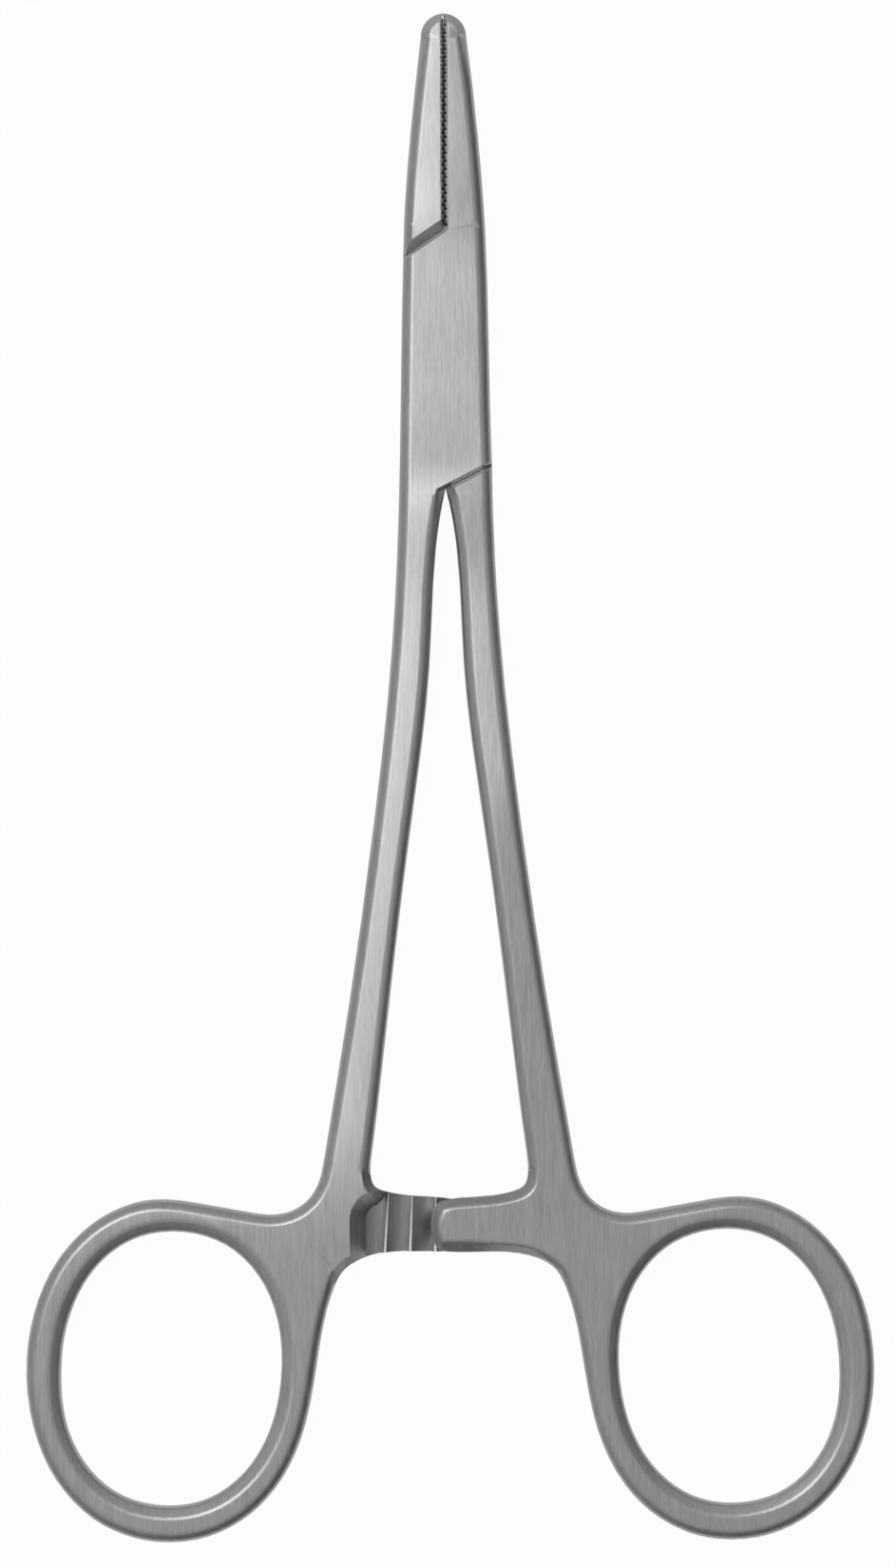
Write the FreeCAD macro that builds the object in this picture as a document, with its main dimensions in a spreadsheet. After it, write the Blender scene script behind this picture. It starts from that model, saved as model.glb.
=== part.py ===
import FreeCAD, Part
import math
import os
from FreeCAD import Vector

# A box-lock surgical needle holder, 150 mm long, lying flat.
# X runs across the tool, Y runs along it towards the tip of the jaws and Z is up.
# The origin is the pivot axis on the underside of the box lock.
# The box half is the left ring, its shank, the slotted box and the right jaw.
# The tongue half is the right ring, its shank, the tongue in the box and the left jaw.

SIZES = {
    # Box lock
    "box_thickness": 5.4,
    "box_half_width": 4.3,
    "box_side_taper": 0.024,
    "box_front": 12.75,
    "box_rear": 12.6,
    "shoulder_front": 10.0,
    "shoulder_rear": 10.25,
    "shoulder_gap": 0.1,
    "slot_corner": 2.0,
    "tongue_thickness": 1.9,
    "tongue_play": 0.06,
    "tongue_inset": 0.1,
    "tongue_root": 0.9,
    # Pivot pin
    "pin_diameter": 3.2,
    "pin_play": 0.04,
    "rivet_diameter": 4.0,
    "rivet_depth": 0.4,
    # Jaws
    "jaw_length": 34.0,
    "jaw_base_width": 3.98,
    "jaw_middle_width": 3.4,
    "jaw_middle_back": 1.4,
    "jaw_tip_width": 2.2,
    "jaw_tip_round": 1.95,
    "jaw_tip_thickness": 2.7,
    "jaw_swell": 0.06,
    "jaw_seam": 0.03,
    # Jaw teeth
    "groove_pitch": 0.77,
    "groove_width": 0.62,
    "groove_depth": 0.28,
    "groove_first": 14.0,
    "groove_count": 26,
    "groove_rows": 3,
    "groove_lead": 1.0,
    # Shanks
    "shank_start": 14.0,
    "shank_end": 78.0,
    "shank_gap_front": 0.33,
    "shank_gap_rear": 7.62,
    "shank_width_front": 4.27,
    "shank_width_waist": 3.65,
    "shank_width_rear": 4.58,
    "shank_thickness_front": 4.5,
    "shank_ramp_start": 13.4,
    "shank_ramp_end": 26.0,
    # Finger rings
    "ring_drop": 4.23,
    "ring_offset": 27.6,
    "ring_half_width": 13.96,
    "ring_half_height": 16.82,
    "ring_tilt": 0.7,
    "ring_thickness": 3.5,
    "rim_beside_hole": 3.14,
    "rim_below_hole": 3.32,
    "hole_tilt": 5.1,
    "hole_shift_in": 0.2,
    "hole_shift_up": 0.17,
    "shoulder_run": 5.0,
    "shoulder_drop": 1.62,
    # Ratchet bars and teeth
    "ratchet_drop": 7.0,
    "bar_width": 4.75,
    "bar_reach": 1.05,
    "bar_end_bulge": 0.8,
    "bar_root_spread": 0.75,
    "bar_root_rise": 1.0,
    "bar_root_fillet": 2.15,
    "bar_root_height": 1.9,
    "bar_root_lean": 0.12,
    "bar_belly": 0.12,
    "bar_foot_drop": 0.68,
    "foot_fillet_run": 3.08,
    "foot_fillet_drop": 3.12,
    "tooth_pitch": 2.4,
    "tooth_depth": 0.9,
    "tooth_crest": 0.2,
    "tooth_rake": 0.22,
    "tooth_play": 0.1,
    "tooth_valley": -0.68,
    "tooth_count": 4,
    "relief_wall": 9.9,
    "relief_round": 2.4,
    "relief_turn": 0.6,
    "relief_top": 5.6,
    "relief_slope": 38.0,
    "relief_over": 0.15,
    # Edge bevels
    "edge_bevel": 0.85,
    "hole_bevel": 0.95,
    "seam_bevel": 0.35,
    "shoulder_bevel": 0.3,
}

# Sizes that follow from others: the rings and the ratchet hang from the end of the shanks
DERIVED_SIZES = {
    "ring_distance": "=shank_end + ring_drop + ring_half_height",
    "ring_far_end": "=shank_end + ring_drop + 2 * ring_half_height",
    "hole_half_width": "=ring_half_width - rim_beside_hole",
    "hole_half_height": "=ring_half_height - rim_below_hole",
    "ratchet_distance": "=shank_end + ratchet_drop",
}

# The outlines of ring and hole are ovals a little squarer than an ellipse
RING_SQUARENESS = 2.09
HOLE_SQUARENESS = 2.15
# How far out a shank has come at each quarter of its run
SHANK_SPREAD = (0.0, 0.187, 0.454, 0.734, 1.0)
# Ring angles, in degrees, between which the outline follows the oval
RING_ARC_START = 107.0
RING_ARC_END = -157.0
RING_ARC_STATIONS = 12
# Stations of the finger hole's outline
HOLE_STATIONS = 16
# Turns, in degrees, at which the shoulder between shank and ring is set out
SHOULDER_TURNS = (40, 65, 90)
# Share of the way from the saddle to the ring where the outline eases over, across and along
SADDLE_EASE = (0.5, 0.4)
# Where the lower fillet of the bar bends, as shares of its run and drop
FOOT_BEND = (0.65, 0.38)
# Height of a quarter circle over its chord, as a share of the chord
QUARTER_RISE = 0.21
# How far the cross grooves lean towards the box for each unit of height
GROOVE_LEAN = 0.33
# How far a cutter starts before the jaw face it cuts
CUTTER_START = 0.02
# Where the dome of the jaw tip bulges, as shares of its width and height
TIP_DOME = (0.72, 0.64)
# Share of the box's extra thickness that is gone halfway down the ramp
RAMP_EASE = 0.6
# Where the curved wall of the ratchet relief bends, as shares of its radius
RELIEF_BEND = (0.22, 0.75)
RELIEF_CROWN = (0.8, 1.23)
# Where the hollow of a ratchet tooth is deepest, as shares of its ramp and depth
TOOTH_HOLLOW = (0.45, 0.7)
# Upright part of a normal: a wall stays under the first and a face is over the second
WALL_TILT = 0.2
FACE_TILT = 0.9
# How far round the finger hole an edge still counts as its rim, as a share of the hole
HOLE_MARGIN = 1.1
# A shoulder edge lies within this share of the box's half width and is at least this long across
SHOULDER_SHARE = 0.8
SHOULDER_LENGTH = 2.0
# Reach of cutting sketches past the metal
CLEAR = 12.0

doc = FreeCAD.newDocument("needle_holder")


# Driving sizes, one named cell each
def make_sheet():
    sheet = doc.addObject("Spreadsheet::Sheet", "sizes")
    for row, (name, value) in enumerate({**SIZES, **DERIVED_SIZES}.items(), start=1):
        sheet.set(f"A{row}", name)
        sheet.set(f"B{row}", str(value))
        sheet.setAlias(f"B{row}", name)
    doc.recompute()
    return sheet


sheet = make_sheet()


def size(name):
    return float(sheet.get(name))


MIDDLE = size("box_thickness") / 2


# Points and curves of the plan outlines
def box_side(y):
    return size("box_half_width") - size("box_side_taper") * y


def oval_point(centre, half_width, half_height, tilt, squareness, angle):
    """Point of a squared oval at an angle in degrees round its centre."""
    phi = math.radians(angle)
    power = 2.0 / squareness
    across = math.copysign(abs(math.cos(phi)) ** power, math.cos(phi)) * half_width
    along = math.copysign(abs(math.sin(phi)) ** power, math.sin(phi)) * half_height
    lean = math.radians(tilt)
    x = centre.x + across * math.cos(lean) - along * math.sin(lean)
    y = centre.y + across * math.sin(lean) + along * math.cos(lean)
    return Vector(x, y, 0)


def ring_point(angle):
    centre = Vector(size("ring_offset"), -size("ring_distance"), 0)
    return oval_point(
        centre, size("ring_half_width"), size("ring_half_height"), size("ring_tilt"), RING_SQUARENESS, angle
    )


def hole_point(angle):
    x = size("ring_offset") - size("hole_shift_in")
    y = -size("ring_distance") + size("hole_shift_up")
    centre = Vector(x, y, 0)
    return oval_point(
        centre, size("hole_half_width"), size("hole_half_height"), size("hole_tilt"), HOLE_SQUARENESS, angle
    )


def shank_gap(quarter):
    spread = size("shank_gap_rear") - size("shank_gap_front")
    return size("shank_gap_front") + spread * SHANK_SPREAD[quarter]


def shank_width(quarter):
    part = quarter / 4.0
    end = size("shank_width_front") if part < 0.5 else size("shank_width_rear")
    waist = size("shank_width_waist")
    return waist + (end - waist) * (1 - 2 * part) ** 2


def shank_y(quarter):
    run = size("shank_end") - size("shank_start")
    return -size("shank_start") - run * quarter / 4.0


def outer_edge_points(start):
    """Outer edge of a right handle, from the box side round the ring and along the foot of its ratchet bar."""
    points = [start]
    if start.y > 0:
        points.append(Vector(box_side(0), 0, 0))
    points += [Vector(shank_gap(q) + shank_width(q), shank_y(q), 0) for q in range(5)]
    corner = points[-1]
    run = size("shoulder_run")
    drop = size("ring_distance") - size("ring_half_height") + size("shoulder_drop") - size("shank_end")
    for angle in SHOULDER_TURNS:
        turn = math.radians(angle)
        points.append(corner + Vector(run * (1 - math.cos(turn)), -drop * math.sin(turn), 0))
    first = ring_point(RING_ARC_START)
    saddle = points[-1]
    across, along_tool = SADDLE_EASE
    points.append(saddle + Vector((first.x - saddle.x) * across, (first.y - saddle.y) * along_tool, 0))
    step = (RING_ARC_END - RING_ARC_START) / (RING_ARC_STATIONS - 1)
    points += [ring_point(RING_ARC_START + step * i) for i in range(RING_ARC_STATIONS)]
    bar = bar_corners()
    root = bar["root_bottom"]
    run = size("foot_fillet_run")
    drop = size("foot_fillet_drop")
    fillet = root + Vector(run, -drop, 0)
    bend = root + Vector(run * FOOT_BEND[0], -drop * FOOT_BEND[1], 0)
    points += [(points[-1] + fillet) * 0.5, fillet, bend, root, bar["belly"], bar["end_bottom"]]
    return points


def bar_corners():
    """Corners of a right ratchet bar: root top, end top, end bulge, end bottom, lower middle, root bottom."""
    y = -size("ratchet_distance")
    half = size("bar_width") / 2
    reach = -size("bar_reach")
    root = size("shank_gap_rear") + size("bar_root_spread")
    return {
        "root_top": Vector(root - size("bar_root_fillet"), y + half + size("bar_root_rise"), 0),
        "end_top": Vector(reach, y + half, 0),
        "bulge": Vector(reach - size("bar_end_bulge"), y, 0),
        "end_bottom": Vector(reach, y - half, 0),
        "belly": Vector(root / 2, y - half - size("bar_belly"), 0),
        "root_bottom": Vector(root, y - half - size("bar_foot_drop"), 0),
    }


def inner_edge_points(last):
    """Inner edge of a right handle, along the top of its ratchet bar and up the shank to the box lock."""
    bar = bar_corners()
    start = bar["root_top"]
    end_y = -size("shank_end") - size("bar_root_height")
    end = Vector(size("shank_gap_rear") + size("bar_root_lean"), end_y, 0)
    chord = end - start
    bend = start + chord * 0.5 + Vector(chord.y, -chord.x, 0) * QUARTER_RISE
    points = [bar["end_top"], (bar["end_top"] + start) * 0.5, start, bend, end]
    points += [Vector(shank_gap(q), shank_y(q), 0) for q in (4, 3, 2, 1, 0)]
    points.append(last)
    return points


def mirrored(points, side):
    return [Vector(side * p.x, p.y, p.z) for p in points]


def spline(points, side=1, start=None, end=None):
    """Smooth curve through the points, with unit end tangents where they are given."""
    curve = Part.BSplineCurve()
    places = mirrored(points, side)
    if start is None:
        curve.interpolate(places)
    else:
        curve.interpolate(Points=places, InitialTangent=start, FinalTangent=end, Scale=False)
    return curve


def line(a, b, side=1):
    ends = mirrored([a, b], side)
    return Part.LineSegment(ends[0], ends[1])


def arc(points, side):
    a, b, c = mirrored(points, side)
    return Part.Arc(a, b, c)


def handle_curves(side, start, last):
    """Outline of one handle from the box side round to the crotch, for the right (1) or the left (-1)."""
    bar = bar_corners()
    return [
        spline(outer_edge_points(start), side),
        arc((bar["end_bottom"], bar["bulge"], bar["end_top"]), side),
        spline(inner_edge_points(last), side),
    ]


def jaw_curves(side, base):
    """Outline of one jaw from a point on the box side round the tip to the seam."""
    tip = size("jaw_length")
    width = size("jaw_tip_width")
    low = tip - size("jaw_tip_round")
    seam = size("jaw_seam") / 2
    points = [base]
    if base.y < 0:
        points.append(Vector(box_side(0), 0, 0))
    points.append(Vector(size("jaw_base_width"), size("box_front"), 0))
    middle = (size("box_front") + low) / 2 - size("jaw_middle_back")
    points.append(Vector(size("jaw_middle_width"), middle, 0))
    points.append(Vector(width, low, 0))
    top = Vector(seam, tip, 0)
    dome = Vector(width * TIP_DOME[0], low + size("jaw_tip_round") * TIP_DOME[1], 0)
    return [spline(points, side), arc((points[-1], dome, top), side)]


# Document helpers
def bind(feature, field, expression):
    feature.setExpression(field, expression)


def make_body(label):
    body = doc.addObject("PartDesign::Body", label)
    body.Label = label
    return body


def origin_feature(body, role):
    return next(f for f in body.Origin.OriginFeatures if f.Role == role)


def make_sketch(body, name, role, curves, lift=None):
    """Sketch on an origin plane of the body, lifted along the plane's normal by an expression."""
    sketch = body.newObject("Sketcher::SketchObject", name)
    sketch.AttachmentSupport = [(origin_feature(body, role), "")]
    sketch.MapMode = "FlatFace"
    if lift is not None:
        bind(sketch, "AttachmentOffset.Base.z", lift)
    sketch.addGeometry(curves, False)
    doc.recompute()
    return sketch


def polygon(points):
    ends = points[1:] + points[:1]
    return [Part.LineSegment(a, b) for a, b in zip(points, ends)]


def add_pad(body, name, sketch, length):
    pad = body.newObject("PartDesign::Pad", name)
    pad.Profile = sketch
    pad.SideType = "Symmetric"
    bind(pad, "Length", length)
    doc.recompute()
    return pad


def add_pocket(body, name, sketch, length=None, side_type="Symmetric", reverse=False, taper=None):
    """Cut a sketch out of the body, right through it when no length is given."""
    before = body.Shape.Volume
    pocket = body.newObject("PartDesign::Pocket", name)
    pocket.Profile = sketch
    pocket.SideType = side_type
    pocket.Reversed = reverse
    if length is None:
        pocket.Type = "ThroughAll"
    else:
        bind(pocket, "Length", length)
    if taper is not None:
        bind(pocket, "TaperAngle", taper)
    doc.recompute()
    if not body.Shape.Volume < before:
        raise RuntimeError(f"{name} cuts nothing")
    return pocket


def rim_edges(shape, wanted):
    """Edges where the outer top or bottom face meets a wall, if the test accepts them."""
    chosen = []
    for edge in shape.Edges:
        spot = edge.valueAt((edge.FirstParameter + edge.LastParameter) / 2)
        if abs(spot.z - MIDDLE) < size("tongue_thickness") / 2 + size("tongue_play") * 2:
            continue
        tilts = []
        for face in shape.ancestorsOfType(edge, Part.Face):
            u, v = face.Surface.parameter(spot)
            tilts.append(abs(face.normalAt(u, v).z))
        if len(tilts) == 2 and min(tilts) < WALL_TILT and max(tilts) > FACE_TILT and wanted(edge, spot):
            chosen.append(edge)
    return chosen


def bevelled(forging, name):
    """The forging with its edges bevelled, as a shape of its own."""
    shape = forging.Shape
    for width, wanted in (
        ("edge_bevel", on_outline),
        ("hole_bevel", near_hole),
        ("seam_bevel", on_seam),
        ("shoulder_bevel", on_shoulder),
    ):
        shape = shape.makeChamfer(size(width), rim_edges(shape, wanted))
    if not shape.isValid():
        shape.fix(1e-4, 1e-5, 1e-3)
    feature = doc.addObject("Part::Feature", name)
    feature.Shape = shape
    return feature


def body_on(base, label):
    """A body that starts from another object's shape."""
    body = make_body(label)
    body.BaseFeature = base
    doc.recompute()
    return body


# Features that both halves share
def side_profile_curves():
    """Waste above and below the side view: jaws thin towards the tip, handles towards the rings."""
    half_box = size("box_thickness") / 2
    half_tip = size("jaw_tip_thickness") / 2
    half_shank = size("shank_thickness_front") / 2
    half_ring = size("ring_thickness") / 2
    front = size("box_front")
    tip = size("jaw_length")
    jaw_slope = (half_box - half_tip) / (tip - front)
    rear = -size("shank_ramp_start")
    ramp = -size("shank_ramp_end")
    end = -size("ring_far_end")
    slope = (half_shank - half_ring) / (ramp - end)
    high = half_box + CLEAR
    curves = []
    jaw_places = [
        (tip + CLEAR, half_tip - jaw_slope * CLEAR),
        (tip, half_tip),
        ((tip + front) / 2, (half_box + half_tip) / 2 + size("jaw_swell")),
        (front, half_box),
    ]
    handle_places = [
        (rear, half_box),
        ((rear + ramp) / 2, half_box * (1 - RAMP_EASE) + half_shank * RAMP_EASE),
        (ramp, half_shank),
        ((ramp + end) / 2, (half_shank + half_ring) / 2),
        (end - CLEAR, half_ring - slope * CLEAR),
    ]
    for way in (1, -1):
        jaw = [Vector(y, MIDDLE + way * z, 0) for y, z in jaw_places]
        handle = [Vector(y, MIDDLE + way * z, 0) for y, z in handle_places]
        level = Vector(-1, 0, 0)
        curves.append(spline(jaw, 1, Vector(-1, way * jaw_slope, 0), level))
        curves.append(line(jaw[-1], handle[0]))
        curves.append(spline(handle, 1, level, Vector(-1, -way * slope, 0)))
        corner = Vector(end - CLEAR, MIDDLE + way * high, 0)
        far = Vector(tip + CLEAR, MIDDLE + way * high, 0)
        curves += [line(handle[-1], corner), line(corner, far), line(far, jaw[0])]
    return curves


def hole_curves(side):
    points = mirrored([hole_point(360.0 * i / HOLE_STATIONS) for i in range(HOLE_STATIONS)], side)
    curve = Part.BSplineCurve()
    curve.interpolate(points, PeriodicFlag=True)
    return [curve]


def cut_profile(body):
    sketch = make_sketch(body, "side_waste", "YZ_Plane", side_profile_curves())
    add_pocket(body, "side_profile", sketch, "5 * sizes.ring_offset")


def cut_ring_hole(body, side):
    sketch = make_sketch(body, "hole_outline", "XY_Plane", hole_curves(side), "sizes.box_thickness / 2")
    add_pocket(body, "ring_hole", sketch)


def near_hole(edge, spot):
    centre = hole_point(0) * 0.5 + hole_point(180) * 0.5
    reach = Vector(abs(spot.x), spot.y, 0) - Vector(centre.x, centre.y, 0)
    return math.hypot(reach.x / size("hole_half_width"), reach.y / size("hole_half_height")) < HOLE_MARGIN


def on_seam(edge, spot):
    return abs(spot.x) < size("jaw_seam") and spot.y > 0


def on_shoulder(edge, spot):
    ends = [v.Point for v in edge.Vertexes]
    inside = abs(spot.x) < size("box_half_width") * SHOULDER_SHARE and abs(spot.y) < size("box_front")
    return inside and len(ends) == 2 and abs(ends[0].x - ends[1].x) > SHOULDER_LENGTH


def on_outline(edge, spot):
    return not (near_hole(edge, spot) or on_seam(edge, spot) or on_shoulder(edge, spot))


# Box half
def box_outline():
    front = Vector(size("jaw_seam") / 2, size("box_front"), 0)
    shoulder = Vector(box_side(size("shoulder_front")), size("shoulder_front"), 0)
    crotch = Vector(size("jaw_seam") / 2, -size("box_rear"), 0)
    rear = Vector(box_side(-size("shoulder_rear")), -size("shoulder_rear"), 0)
    curves = [line(front, mirrored([shoulder], -1)[0])]
    curves += handle_curves(-1, shoulder, crotch)
    curves.append(line(mirrored([crotch], -1)[0], rear))
    curves += jaw_curves(1, rear)
    curves.append(line(Vector(size("jaw_seam") / 2, size("jaw_length"), 0), front))
    return curves


def tongue_outline():
    """Two closed outlines: the right handle behind the box and the left jaw in front of it."""
    gap = size("shoulder_gap")
    half_seam = size("jaw_seam") / 2
    rear_y = -size("shoulder_rear") - gap
    rear = Vector(box_side(rear_y), rear_y, 0)
    crotch = Vector(half_seam, -size("box_rear") - gap, 0)
    curves = handle_curves(1, rear, crotch)
    curves.append(line(crotch, rear))
    front_y = size("shoulder_front") + gap
    shoulder = Vector(box_side(front_y), front_y, 0)
    seam_foot = Vector(half_seam, size("box_front") + gap, 0)
    seam_tip = Vector(half_seam, size("jaw_length"), 0)
    curves += jaw_curves(-1, shoulder)
    curves += [line(seam_tip, seam_foot, -1), line(seam_foot, shoulder, -1)]
    return curves


def slot_walls():
    """Corner and foot of each slot wall: the front one on the right and the rear one on the left."""
    corner = size("slot_corner")
    half_seam = size("jaw_seam") / 2
    front = (Vector(box_side(corner), corner, 0), Vector(half_seam, size("box_front"), 0))
    rear = (Vector(-box_side(-corner), -corner, 0), Vector(-half_seam, -size("box_rear"), 0))
    return front, rear


def along(wall, x, shift=0.0):
    """Point at x on a slot wall's line, shifted towards the pivot."""
    corner, foot = wall
    run = (foot - corner).normalize()
    inward = Vector(run.y, -run.x, 0)
    if inward.dot(corner) > 0:
        inward = inward * -1
    start = corner + inward * shift
    return start + run * ((x - start.x) / run.x)


def slot_outline():
    front, rear = slot_walls()
    far = size("box_half_width") + CLEAR / 4
    return polygon([
        along(front, far),
        front[1],
        Vector(-CLEAR, size("box_front"), 0),
        along(rear, -far),
        rear[1],
        Vector(CLEAR, -size("box_rear"), 0),
    ])


def tongue_plate_outline():
    """The tongue fills the slot but for its play and reaches into the jaw and the handle."""
    front, rear = slot_walls()
    play = size("tongue_play")
    inset = size("tongue_inset")
    root = size("tongue_root")
    jaw_foot = size("box_front")
    crotch = -size("box_rear")
    right = box_side(size("slot_corner")) - inset
    left = -box_side(-size("slot_corner")) + inset
    high = size("shoulder_front") + root
    low = -size("shoulder_rear") - root
    return polygon([
        Vector(box_side(low) - inset, low, 0),
        along(front, right, play),
        along(front, -size("jaw_seam") / 2, play),
        Vector(-root / 3, jaw_foot + root, 0),
        Vector(-box_side(high) + root, jaw_foot - root, 0),
        Vector(-box_side(high) + inset, high, 0),
        along(rear, left, play),
        along(rear, size("jaw_seam") / 2, play),
        Vector(root / 3, crotch - root, 0),
        Vector(box_side(low) - root, crotch + root / 2, 0),
    ])


def pin_profile():
    """Half section of the pin: a plain shank with a riveted cone at each face of the box."""
    shank = size("pin_diameter") / 2
    head = size("rivet_diameter") / 2
    deep = size("rivet_depth")
    top = size("box_thickness")
    return polygon([
        Vector(0, 0, 0),
        Vector(head, 0, 0),
        Vector(shank, deep, 0),
        Vector(shank, top - deep, 0),
        Vector(head, top, 0),
        Vector(0, top, 0),
    ])


def turn_about_pivot(body, kind, name, sketch):
    feature = body.newObject(kind, name)
    feature.Profile = sketch
    feature.ReferenceAxis = (sketch, ["V_Axis"])
    feature.Angle = 360
    doc.recompute()
    return feature


BAR_HALF_THICKNESS = (
    "(sizes.shank_thickness_front - (sizes.shank_thickness_front - sizes.ring_thickness)"
    " * (sizes.ratchet_distance - sizes.shank_ramp_end)"
    " / (sizes.ring_far_end - sizes.shank_ramp_end)) / 2"
)


def cut_ratchet(body, side, way):
    """Mill the bar to half thickness and cut its teeth, from above (1) or from below (-1)."""
    y = -size("ratchet_distance")
    wall = size("relief_wall")
    turn = size("relief_round")
    low = y - size("bar_width") - CLEAR / 4
    high = y + size("relief_top")
    bend = Vector(wall, y + size("relief_turn"), 0)
    middle = bend + Vector(-turn * RELIEF_BEND[0], turn * RELIEF_BEND[1], 0)
    crown = bend + Vector(-turn * RELIEF_CROWN[0], turn * RELIEF_CROWN[1], 0)
    top = crown + Vector(crown.y - high, high - crown.y, 0)
    foot = Vector(wall, low, 0)
    far_top = Vector(-CLEAR, high, 0)
    far_foot = Vector(-CLEAR, low, 0)
    curves = [line(far_foot, foot, side), line(foot, bend, side), arc((bend, middle, crown), side)]
    curves += [line(crown, top, side), line(top, far_top, side), line(far_top, far_foot, side)]
    lift = f"sizes.box_thickness / 2 + {way} * ({BAR_HALF_THICKNESS} + sizes.relief_over)"
    depth = f"{BAR_HALF_THICKNESS} + sizes.relief_over + sizes.tooth_play / 2"
    sketch = make_sketch(body, "relief_outline", "XY_Plane", curves, lift)
    add_pocket(body, "relief", sketch, depth, "One side", way < 0, "-sizes.relief_slope")

    level = -size("tooth_play") / 2
    valley = size("tooth_valley")
    ramp = size("tooth_pitch") - size("tooth_rake") - size("tooth_crest")
    deep = size("tooth_depth")
    places = [
        (valley + ramp, 0),
        (valley + ramp * TOOTH_HOLLOW[0], -deep * TOOTH_HOLLOW[1]),
        (valley, -deep),
        (valley - size("tooth_rake"), 0),
    ]
    crest, hollow, foot, top = [Vector(side * x, MIDDLE + way * (level + z), 0) for x, z in places]
    tooth = [Part.Arc(crest, hollow, foot), line(foot, top), line(top, crest)]
    sketch = make_sketch(body, "tooth_outline", "XZ_Plane", tooth, "sizes.ratchet_distance")
    space = add_pocket(body, "tooth_space", sketch, "sizes.bar_width + 2 * sizes.bar_root_rise")
    rack = body.newObject("PartDesign::PolarPattern", "ratchet_teeth")
    rack.Originals = [space]
    rack.Axis = (origin_feature(body, "Z_Axis"), [""])
    rack.Reversed = side < 0
    rack.Mode = "Extent"
    bind(rack, "Angle", "(sizes.tooth_count - 1) * sizes.tooth_pitch / sizes.ratchet_distance * 1 rad")
    bind(rack, "Occurrences", "sizes.tooth_count")
    body.Tip = rack
    doc.recompute()


def groove_outline(side, centre_x, centre_y):
    """Triangle of a V groove that opens towards the seam."""
    half = size("groove_width") / 2
    deep = size("groove_depth")
    start = centre_x - side * CUTTER_START
    wide = half * (deep + CUTTER_START) / deep
    return polygon([
        Vector(start, centre_y - wide, 0),
        Vector(start, centre_y + wide, 0),
        Vector(centre_x + side * deep, centre_y, 0),
    ])


def pattern_along(body, name, feature, role, spacing, count):
    pattern = body.newObject("PartDesign::LinearPattern", name)
    pattern.Originals = [feature]
    pattern.Direction = (origin_feature(body, role), [""])
    pattern.Mode = "Spacing"
    bind(pattern, "Offset", spacing)
    bind(pattern, "Occurrences", count)
    body.Tip = pattern
    doc.recompute()


def cut_jaw_teeth(body, side, shift):
    """Cross-cut the jaw face: grooves across it, and rows of grooves along it."""
    face = side * size("jaw_seam") / 2
    first = size("groove_first") + shift
    sketch = make_sketch(
        body, "cross_groove_outline", "XY_Plane", groove_outline(side, face, first), "sizes.box_thickness / 2"
    )
    groove = add_pocket(body, "cross_groove", sketch, "sizes.box_thickness")
    groove.UseCustomVector = True
    groove.Direction = Vector(0, -GROOVE_LEAN, 1)
    pattern_along(body, "cross_grooves", groove, "Y_Axis", "sizes.groove_pitch", "sizes.groove_count")
    lowest = MIDDLE - size("groove_pitch") * (size("groove_rows") - 1) / 2
    sketch = make_sketch(
        body,
        "long_groove_outline",
        "XZ_Plane",
        groove_outline(side, face, lowest),
        "-sizes.jaw_length - sizes.groove_lead",
    )
    length = "sizes.jaw_length + sizes.groove_lead - sizes.groove_first + sizes.groove_pitch / 2"
    groove = add_pocket(body, "long_groove", sketch, length, "One side", True)
    pattern_along(body, "long_grooves", groove, "Z_Axis", "sizes.groove_pitch", "sizes.groove_rows")


# Box half
box_forging = make_body("box_half_forging")
outline = make_sketch(box_forging, "box_half_outline", "XY_Plane", box_outline(), "sizes.box_thickness / 2")
add_pad(box_forging, "box_half_blank", outline, "sizes.box_thickness")
cut_profile(box_forging)
cut_ring_hole(box_forging, -1)
box_half = body_on(bevelled(box_forging, "box_half_bevelled"), "box_half")
slot = make_sketch(box_half, "slot_outline", "XY_Plane", slot_outline(), "sizes.box_thickness / 2")
add_pocket(box_half, "slot", slot, "sizes.tongue_thickness + 2 * sizes.tongue_play")
bore = make_sketch(box_half, "bore_profile", "XZ_Plane", pin_profile())
turn_about_pivot(box_half, "PartDesign::Groove", "pin_bore", bore)
cut_ratchet(box_half, -1, 1)
cut_jaw_teeth(box_half, 1, 0.0)

# Tongue half
tongue_forging = make_body("tongue_half_forging")
plate = make_sketch(
    tongue_forging, "plate_outline", "XY_Plane", tongue_plate_outline(), "sizes.box_thickness / 2"
)
add_pad(tongue_forging, "tongue", plate, "sizes.tongue_thickness")
outline = make_sketch(
    tongue_forging, "tongue_half_outline", "XY_Plane", tongue_outline(), "sizes.box_thickness / 2"
)
add_pad(tongue_forging, "tongue_half_blank", outline, "sizes.box_thickness")
cut_profile(tongue_forging)
cut_ring_hole(tongue_forging, 1)
tongue_half = body_on(bevelled(tongue_forging, "tongue_half_bevelled"), "tongue_half")
bore_radius = size("pin_diameter") / 2 + size("pin_play")
bore = make_sketch(
    tongue_half, "bore_outline", "XY_Plane", [Part.Circle(Vector(), Vector(0, 0, 1), bore_radius)],
    "sizes.box_thickness / 2"
)
add_pocket(tongue_half, "pin_bore", bore, "sizes.box_thickness")
cut_ratchet(tongue_half, 1, -1)
cut_jaw_teeth(tongue_half, -1, size("groove_pitch") / 2)

# Pivot pin
pivot_pin = make_body("pivot_pin")
turned = make_sketch(pivot_pin, "pin_profile", "XZ_Plane", pin_profile())
turn_about_pivot(pivot_pin, "PartDesign::Revolution", "pin", turned)


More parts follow.
